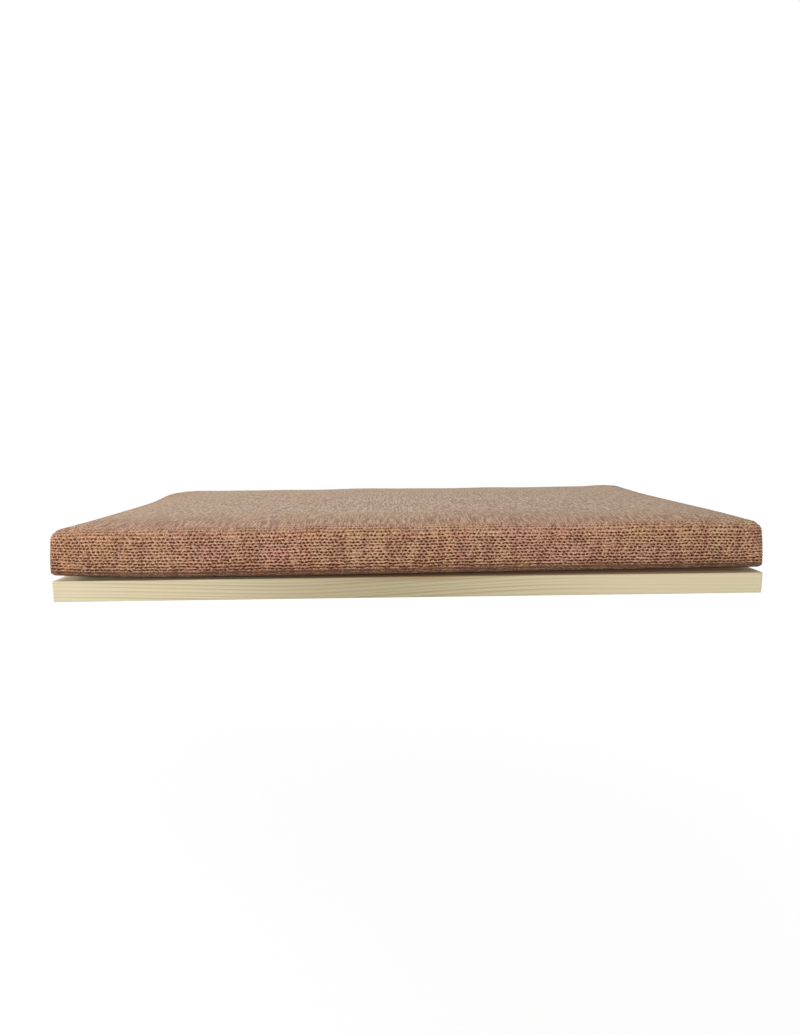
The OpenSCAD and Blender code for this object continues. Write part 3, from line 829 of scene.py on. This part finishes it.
def stopped_by_foam(moves, normals):
    """The same movement with soft limits: the foam keeps the knit from going in, and its stretch from
    going far out or along."""
    out = (moves * normals).sum(1)
    slip = moves - out[:, None] * normals
    out = np.where(out > 0, CLOTH_OUT * np.tanh(out / CLOTH_OUT), CLOTH_IN * np.tanh(out / CLOTH_IN))
    length = np.linalg.norm(slip, axis=1, keepdims=True)
    slip *= CLOTH_SLIP * np.tanh(length / CLOTH_SLIP) / np.maximum(length, 1e-9)
    return out[:, None] * normals + slip


def cloth_moves(fine):
    """The simulated swelling, carried from a coarse grid to the points of a fine one."""
    moves = np.zeros_like(fine.points)
    coarse = PadGrid(*CLOTH_GRID)
    hold = held_shares(coarse)
    shrink = CLOTH_SHRINK * (1 - hold)[:, None] * coarse.normals
    start = shaped(coarse.points, coarse.normals) - shrink
    pressed = stopped_by_foam(pressed_out(coarse, start, hold) - shrink, coarse.normals)
    for (axis, side), ids in fine.ids.items():
        b, c = (axis + 1) % 3, (axis + 2) % 3
        grid = pressed[coarse.ids[axis, side]]
        for part in range(3):
            rows = [np.interp(fine.lines[b], coarse.lines[b], column) for column in grid[:, :, part].T]
            rows = [np.interp(fine.lines[c], coarse.lines[c], line) for line in np.array(rows).T]
            moves[ids, part] = np.array(rows)
    at_zip = smoothstep((fine.normals[:, 1] - 0.5) / 0.3)
    at_zip *= smoothstep((ZIP_STILL - np.abs(fine.points[:, 2] - slot_z)) / ZIP_STILL_FADE)
    return moves * (1 - at_zip)[:, None]


def in_opening(grid, face, quads):
    """Which quads lie in the zip's opening or under the lining."""
    x, y, z = grid.points[quads].mean(axis=1).T
    if face == (1, 1):
        return (np.abs(x) < slot_high) & (np.abs(z - slot_z) < slot_half_h)
    if face == (2, -1):
        return (np.abs(x) < hem_half_w) & (np.abs(y) < hem_half_d)
    return np.zeros(len(quads), bool)


def rib_heights(grid):
    """Height of the knit's rows on the sides, fading out over the top."""
    reach_y, reach_z = grid.lines[1][-1], grid.lines[2][-1]
    nx, ny, nz = grid.normals.T
    from_middle = np.abs(grid.arcs[:, 1])
    on_top = grid.arcs[:, 2] >= reach_z - 1e-9
    along = np.where(on_top, from_middle, reach_y + reach_z - grid.arcs[:, 2])
    flat_y = PAD_HALF[1] - TOP_ROLL_R
    fade = np.where(on_top, smoothstep((from_middle - flat_y) / (reach_y - flat_y)), 1.0)
    fade *= np.where(nz < 0, smoothstep((nz + 1) / 0.3), 1.0)
    fade *= np.where(on_top & (np.abs(nx) > np.abs(ny)), 0.0, 1.0)
    return RIB * fade * (0.5 - 0.5 * np.cos(2 * math.pi * along / ROW_H))


def seam_depths(grid):
    """Depth of the seams round the end panels, which are sewn on above, behind and below."""
    nx, ny, nz = grid.normals.T
    off = (np.abs(nx) - np.maximum(np.abs(nz), ny)) * TOP_ROLL_R
    line = np.exp(-(off / SEAM_W) ** 2) * (np.abs(nx) > SEAM_TILT) * (1 - smoothstep((-ny - 0.15) / 0.4))
    along = grid.arcs[:, 1]
    pucker = 1 + PUCKER * np.sin(along * 2 * math.pi / PUCKER_L + 2 * np.sin(along * 90))
    return SEAM_DEPTH * line * pucker


def knit_cover():
    """The cover, with lines of its grid laid along the zip's opening and the lining's hem."""
    slot_x = slot_high / (PAD_HALF[0] - roll_radius(level_at(slot_z)))
    hem_x, hem_y = np.array([hem_half_w, hem_half_d]) / (PAD_HALF[:2] - UNDER_ROLL_R)
    slot_levels = 2 * level_at(slot_z + slot_half_h * np.array([-1, 1])) - 1
    grid = PadGrid(*KNIT_GRID, ((-hem_x, -slot_x, slot_x, hem_x), (-hem_y, hem_y), slot_levels))
    points = shaped(grid.points, grid.normals) + cloth_moves(grid)
    faces, weaves = [], []
    for face in grid.ids:
        quads = grid.quads(face)
        quads = quads[~in_opening(grid, face, quads)]
        u, v = weave_place(grid, face, quads.ravel())
        faces.append(quads)
        weaves.append(np.stack([u / STITCH_W, v / ROW_H], 1))
    faces, weaves = np.concatenate(faces), np.concatenate(weaves)
    mesh = mesh_from("knit_cover", points + PAD_MIDDLE, faces)
    normals = np.empty(len(points) * 3, np.float32)
    mesh.vertices.foreach_get("normal", normals)
    points += (rib_heights(grid) - seam_depths(grid))[:, None] * normals.reshape(-1, 3)
    mesh.vertices.foreach_set("co", (points + PAD_MIDDLE).ravel())
    mesh.uv_layers.new(name="weave").uv.foreach_set("vector", weaves.ravel())
    fold_openings(mesh)
    cover = add_piece("knit_cover", mesh, KNIT, "cushion", ["cushion_cover"])
    return cover


def fold_openings(mesh):
    """Turns the knit inwards round the zip's opening and the lining."""
    b = bmesh.new()
    b.from_mesh(mesh)
    loose = [v for v in b.verts if not v.link_faces]
    bmesh.ops.delete(b, geom=loose, context="VERTS")
    rim = [e for e in b.edges if e.is_boundary]
    made = bmesh.ops.extrude_edge_only(b, edges=rim)["geom"]
    for v in made:
        if isinstance(v, bmesh.types.BMVert):
            at_rear = v.co.y > PAD_MIDDLE[1] + 0.9 * PAD_HALF[1]
            v.co += Vector((0, -KNIT_T, 0)) if at_rear else Vector((0, 0, KNIT_T))
    bmesh.ops.recalc_face_normals(b, faces=b.faces)
    b.to_mesh(mesh)
    b.free()


def foam_block():
    """The foam inside: the cushion's form set in from the knit, and cut square at the rear for the zip."""
    grid = PadGrid(*FOAM_GRID)
    points = shaped(grid.points, grid.normals) - FOAM_INSET * grid.normals + PAD_MIDDLE
    points[:, 1] = np.minimum(points[:, 1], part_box("foam_core")[1].y)
    mesh = mesh_from("foam_block", points, np.concatenate([grid.quads(f) for f in grid.ids]))
    foam = add_piece("foam_block", mesh, FOAM, "cushion", ["foam_core"], sharp=60)
    return foam


# Lining, hook and loop tapes

LINING_GRID = (127, 62)
LINING_T = 1.1 * MM
LINING_SLACK = 0.22 * MM
LINING_FADE = 14 * MM
LINING_SEAM_INSET = 3 * MM
TAPE_BASE_T = 0.5 * MM
TAPE_CORNER_R = 3 * MM
CORNER_STEPS = 5
PILE_PITCH = 2.4 * MM
PILE_ROWS = 9
PILE_INSET = 1.6 * MM
PILE_SIDES = 5
HOOK_R = 0.11 * MM
HOOK_FORM = np.array([(0, -0.2), (0, 0.4), (0, 0.72), (0.12, 0.95), (0.36, 1), (0.5, 0.86), (0.5, 0.62)])
LOOP_R = 0.07 * MM
LOOP_WIDE_MM = (0.5, 0.95)
LOOP_TALL = (0.65, 1.0)
LOOP_SEAM_INSET = 1.1 * MM
THREAD_R = 0.26 * MM
THREAD_SIDES = 6
THREAD_RISE = 0.22 * MM
STITCH_L = 3.2 * MM
STITCH_PITCH = 4.3 * MM
DOWN = np.array([0.0, 0.0, -1.0])


def lining_panel():
    """The plain panel underneath, a little slack between its seams."""
    x, y = even_grid(lining_low.xy, lining_high.xy, LINING_GRID)
    to_edge = np.minimum.reduce([x - lining_low.x, lining_high.x - x, y - lining_low.y, lining_high.y - y])
    slack = 1 + 0.6 * np.sin(x * 55 + y * 30) + 0.4 * np.sin(x * 38 - y * 70 + 1.3)
    z = lining_low.z + LINING_SLACK * slack * smoothstep(to_edge / LINING_FADE)
    mesh = slab("lining_panel", np.stack([x, y, z], -1), np.stack([x, y, z + LINING_T], -1))
    lining = add_piece("lining_panel", mesh, LINING, "cushion", ["cover_lining"], sharp=60)
    inset = LINING_SEAM_INSET
    seam = sewn_round("lining_stitching", lining_low, lining_high, lining_low.z, inset, "cover_lining")
    return lining


def stitched(start, end, normal):
    """Paths of the stitches in a straight seam, each one arched over the cloth with its ends drawn in."""
    count = max(1, round(np.linalg.norm(end - start) / STITCH_PITCH))
    pitch = (end - start) / count
    middles = start + pitch * (np.arange(count)[:, None] + 0.5)
    t = np.array([-1.0, -0.75, 0.0, 0.75, 1.0])
    length = pitch / np.linalg.norm(pitch) * STITCH_L / 2
    rise = THREAD_RISE * (1.4 * (1 - t ** 4) - 0.6)
    return middles[:, None] + length * t[:, None] + normal * rise[:, None]


def inner_corners(low, high, inset):
    """The corners of a rectangle set in from a box's edges, anticlockwise from its low corner."""
    x0, x1, y0, y1 = low.x + inset, high.x - inset, low.y + inset, high.y - inset
    return [(x0, y0), (x1, y0), (x1, y1), (x0, y1)]


def sewn_round(name, low, high, z, inset, node):
    """A seam along the edges of a flat piece, on its lower face."""
    corners = np.array([(x, y, z) for x, y in inner_corners(low, high, inset)])
    sides = [stitched(a, b, DOWN) for a, b in zip(corners, np.roll(corners, -1, axis=0))]
    mesh = tubes(name, np.concatenate(sides), THREAD_R, THREAD_SIDES, DOWN)
    return add_piece(name, mesh, THREAD, "cushion", [node])


def tape_base(name, low, high, z0, z1):
    """A flat strip with rounded corners."""
    outline = []
    for i, (x, y) in enumerate(inner_corners(low, high, TAPE_CORNER_R)):
        turn = QUARTER * (i + 2 + np.linspace(0, 1, CORNER_STEPS))
        outline += [(x + TAPE_CORNER_R * math.cos(a), y + TAPE_CORNER_R * math.sin(a)) for a in turn]
    count = len(outline)
    points = [(x, y, z) for z in (z0, z1) for x, y in outline]
    sides = [(i, (i + 1) % count, count + (i + 1) % count, count + i) for i in range(count)]
    return mesh_from(name, points, sides + [range(count - 1, -1, -1), range(count, 2 * count)])


def merged(name, meshes):
    b = bmesh.new()
    for mesh in meshes:
        b.from_mesh(mesh)
        bpy.data.meshes.remove(mesh)
    mesh = bpy.data.meshes.new(name)
    b.to_mesh(mesh)
    b.free()
    return mesh


def pile_places(low, high):
    """Places for the hooks or loops of a tape, in staggered rows inside its edges."""
    xs = np.arange(low.x + PILE_INSET, high.x - PILE_INSET, PILE_PITCH)
    ys = np.linspace(low.y + PILE_INSET, high.y - PILE_INSET, PILE_ROWS)
    x, y = np.meshgrid(xs, ys, indexing="ij")
    x = x + np.where(np.arange(PILE_ROWS) % 2, PILE_PITCH / 2, 0.0)
    return np.stack([x.ravel(), y.ravel()], 1)


def hook_strip(node):
    """Hook tape stuck to the board: a woven base with rows of small bent hooks."""
    low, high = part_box(node)
    places = pile_places(low, high)
    face = low.z + TAPE_BASE_T
    rise = high.z - face - 2 * HOOK_R
    across, up = HOOK_FORM.T
    lean = rng.choice([-1.0, 1.0], len(places))
    x = places[:, :1] + lean[:, None] * across * rise
    paths = np.stack(np.broadcast_arrays(x, places[:, 1:], face + up * rise), -1)
    hooks = tubes(node + "_hooks", paths, HOOK_R, PILE_SIDES, np.array([0.0, 1.0, 0.0]))
    base = tape_base(node + "_base", low, high, low.z, face)
    mesh = merged(node + "_pile", [base, hooks])
    return add_piece(node + "_pile", mesh, HOOKS, "shelf", [node], sharp=50)


def loop_strip(node):
    """Loop tape sewn under the cushion: a woven base with a pile of fine loops, and its seam."""
    low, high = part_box(node)
    places = pile_places(low, high)
    face = high.z - TAPE_BASE_T
    drop = face - low.z - LOOP_R
    turn = np.linspace(-0.1, 1.1, 8) * math.pi
    facing = rng.uniform(0, math.pi, len(places))
    wide = rng.uniform(*LOOP_WIDE_MM, len(places)) * MM
    tall = rng.uniform(*LOOP_TALL, len(places)) * drop
    x = places[:, :1] + (wide * np.cos(facing))[:, None] * np.cos(turn)
    y = places[:, 1:] + (wide * np.sin(facing))[:, None] * np.cos(turn)
    paths = np.stack([x, y, face - tall[:, None] * np.sin(turn)], -1)
    pile = tubes(node + "_loops", paths, LOOP_R, PILE_SIDES, np.array([0.31, 0.43, 0.05]))
    base = tape_base(node + "_base", low, high, face, high.z)
    mesh = merged(node + "_pile", [base, pile])
    add_piece(node + "_pile", mesh, LOOPS, "cushion", [node], sharp=50)
    return sewn_round(node + "_stitching", low, high, face, LOOP_SEAM_INSET, node)


# Zip

COIL_PITCH = 1.5 * MM
COIL_STEPS = 10
COIL_SIDES = 6
COIL_R = 0.33 * MM
COIL_REACH = 0.15 * MM
TAPE_GRID = (201, 13)
TAPE_RIPPLE = 0.05 * MM
TOPSTITCH_GAP = 3.4 * MM
TOPSTITCH_PAST = 3 * MM
TOPSTITCH_SEAT = 0.2 * MM
RAY_START_Y = 20 * MM


def zip_tape(node):
    """One woven tape, with a slight ripple between its sewn edges."""
    low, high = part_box(node)
    x, z = even_grid(low.xz, high.xz, TAPE_GRID)
    ripple = TAPE_RIPPLE * np.sin(x * 190) * np.sin((z - low.z) / (high.z - low.z) * math.pi)
    outer = np.stack([x, high.y - TAPE_RIPPLE + ripple, z], -1)
    inner = np.stack([x, low.y + TAPE_RIPPLE + ripple, z], -1)
    mesh = slab(node + "_weave", outer, inner)
    tape = add_piece(node + "_weave", mesh, TAPE, "cushion", [node], sharp=60)
    return tape


def zip_coil(node, phase):
    """A wound coil, whose turns reach past the middle between those of the other row."""
    low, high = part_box(node)
    far = high.z if abs(high.z - zip_z) > abs(low.z - zip_z) else low.z
    near = zip_z + math.copysign(COIL_REACH, zip_z - far)
    turns = int((high.x - low.x - 2 * COIL_R) / COIL_PITCH)
    angle = np.arange(turns * COIL_STEPS + 1) * 2 * math.pi / COIL_STEPS
    x = low.x + COIL_R + phase + angle / (2 * math.pi) * COIL_PITCH
    y = (low.y + high.y) / 2 + ((high.y - low.y) / 2 - COIL_R) * np.sin(angle)
    z = (far + near) / 2 + (abs(far - near) / 2 - COIL_R) * np.cos(angle)
    path = np.stack([x, y, z], 1)[None]
    mesh = tubes(node + "_turns", path, COIL_R, COIL_SIDES, np.array([1.0, 0.0, 0.0]))
    return add_piece(node + "_turns", mesh, COIL, "cushion", [node])


def zip_topstitching(cover):
    """Two rows of stitches that hold the zip's tapes to the knit, laid on the cover's rear side."""
    b = bmesh.new()
    b.from_mesh(cover.data)
    tree = BVHTree.FromBMesh(b)
    b.free()
    out = np.array([0.0, 1.0, 0.0])
    ends = slot_low - TOPSTITCH_PAST, slot_high + TOPSTITCH_PAST
    sewn = []
    for side in (-1, 1):
        z = zip_z + side * (slot_half_h + TOPSTITCH_GAP)
        paths = stitched(*(np.array([x, 0.0, z]) for x in ends), out)
        for path in paths:
            hit = tree.ray_cast(Vector((path[2, 0], RAY_START_Y, z)), Vector((0, -1, 0)))[0]
            path[:, 1] += hit.y + TOPSTITCH_SEAT
        sewn.append(paths)
    mesh = tubes("zip_stitching", np.concatenate(sewn), THREAD_R, THREAD_SIDES, out)
    return add_piece("zip_stitching", mesh, THREAD, "cushion", ["cushion_cover"])


# Metal pieces

STEEL_EASE = 0.25 * MM
BRASS_EASE = 0.2 * MM
SLIDER_EASE = 0.15 * MM
EASE_STEPS = 2
EASE_ANGLE = math.radians(30)


def metal_piece(node, body, material, ease):
    """A node's own form, with eased edges."""
    piece = add_piece(node + "_eased", clean_copy(node), material, body, [node], sharp=35)
    bevel = piece.modifiers.new("bevel", "BEVEL")
    bevel.width = ease
    bevel.segments = EASE_STEPS
    bevel.limit_method = "ANGLE"
    bevel.angle_limit = EASE_ANGLE
    bevel.harden_normals = True
    return piece


# Stage: a pale floor far below, a white surround, soft light and the camera

WHITE = (1.0, 1.0, 1.0, 1.0)
FLOOR_Z = -1.1
FLOOR_REACH = 8.0
FLOOR_LIT = (0.55, 0.55, 0.55, 1.0)
FLOOR_SHADE = (0.3, 0.3, 0.3, 1.0)
GLOW_REACH = (0.9, 3.9)
GLOW = (0.7, 0.93)
WORLD_LIGHT = 0.3
LAMP_AIM = Vector((0, -0.2, 0.02))
LAMPS = {
    "overhead": ((-0.9, 0.6, 1.6), (1.4, 1.0), 14),
    "front": ((-0.5, -2.2, 0.3), (2.2, 0.6), 29),
    "left": ((-2.1, -0.5, 0.6), (1.0, 0.5), 27),
    "right": ((2.2, 0.3, 0.4), (1.0, 0.5), 13),
    "rear": ((0.5, 2.3, 0.5), (2.0, 0.8), 12),
}
CAMERA_PLACE = Vector((-0.01168, -0.84946, 0.13288))
CAMERA_TURN = (-0.517, -8.294, 0.625)
CAMERA_CLIP = 0.01
FOCAL_PX = 608.7
IMAGE_H_PX = 1034
SENSOR_MM = 36


def add_floor():
    """A floor that returns some light, and shows nearly white with the part's shadow on it."""
    g = Graph("floor")
    g.tree.nodes.remove(g.tree.nodes["Principled BSDF"])
    lit = g.node("ShaderNodeBsdfDiffuse", {"Color": FLOOR_LIT})
    shade = g.node("ShaderNodeBsdfDiffuse", {"Color": FLOOR_SHADE})
    place = g.node("ShaderNodeNewGeometry", output="Position")
    from_part = g.node("ShaderNodeVectorMath", {0: place}, "Value", operation="LENGTH")
    glow = g.node("ShaderNodeEmission", {"Strength": g.smooth(from_part, *GLOW_REACH, *GLOW)})
    seen = g.node("ShaderNodeAddShader", {0: shade, 1: glow})
    corners = [(x * FLOOR_REACH, y * FLOOR_REACH, FLOOR_Z) for x, y in ((-1, -1), (1, -1), (1, 1), (-1, 1))]
    mesh = mesh_from("floor", corners, [(0, 1, 2, 3)])
    mesh.materials.append(g.shown_apart(lit, seen, "Material Output"))
    floor = add_object("floor", mesh)


def add_world():
    """Even light from all round, and a white surround."""
    g = Graph("studio", bpy.data.worlds)
    g.tree.nodes.remove(g.tree.nodes["Background"])
    lit = g.node("ShaderNodeBackground", {"Color": WHITE, "Strength": WORLD_LIGHT})
    seen = g.node("ShaderNodeBackground", {"Color": WHITE, "Strength": 1.0})
    SCENE.world = g.shown_apart(lit, seen, "World Output")


def add_softbox(name, place, size, power):
    data = bpy.data.lights.new(name, "AREA")
    data.shape = "RECTANGLE"
    data.size, data.size_y = size
    data.energy = power
    lamp = add_object(name, data)
    lamp.location = place
    aim = LAMP_AIM - Vector(place)
    lamp.rotation_euler = aim.to_track_quat("-Z", "Y").to_euler()


def add_camera():
    yaw, pitch, roll = (math.radians(a) for a in CAMERA_TURN)
    turn = Matrix.Rotation(yaw, 3, "Z") @ Matrix.Rotation(pitch, 3, "X") @ Matrix.Rotation(roll, 3, "Y")
    looking_ahead = Matrix.Rotation(QUARTER, 3, "X")
    data = bpy.data.cameras.new("camera")
    data.sensor_width = SENSOR_MM
    data.lens = FOCAL_PX * SENSOR_MM / IMAGE_H_PX
    data.clip_start = CAMERA_CLIP
    camera = add_object("camera", data)
    camera.matrix_world = Matrix.Translation(CAMERA_PLACE) @ (turn @ looking_ahead).to_4x4()
    SCENE.camera = camera


SCENE.view_settings.view_transform = "Standard"
add_camera()
add_floor()
add_world()
for name, lamp in LAMPS.items():
    add_softbox(name, *lamp)

add_piece("pine_board", clean_copy("shelf_board"), PINE, "shelf", ["shelf_board"], sharp=25)
zip_topstitching(knit_cover())
foam_block()
lining_panel()
for node in ("front_hook_strip", "rear_hook_strip"):
    hook_strip(node)
for node in ("front_loop_strip", "rear_loop_strip"):
    loop_strip(node)
for node in ("zip_upper_tape", "zip_lower_tape"):
    zip_tape(node)
zip_coil("zip_upper_coil", 0.0)
zip_coil("zip_lower_coil", COIL_PITCH / 2)
for node in ("left_wall_plate", "right_wall_plate", "left_support_rod", "right_support_rod"):
    metal_piece(node, "wall_supports", STEEL, STEEL_EASE)
for node in ("zip_bottom_stop", "zip_top_stops"):
    metal_piece(node, "cushion", BRASS, BRASS_EASE)
metal_piece("zip_slider", "slider", BRASS, SLIDER_EASE)
metal_piece("zip_pull", "pull", BRASS, BRASS_EASE)
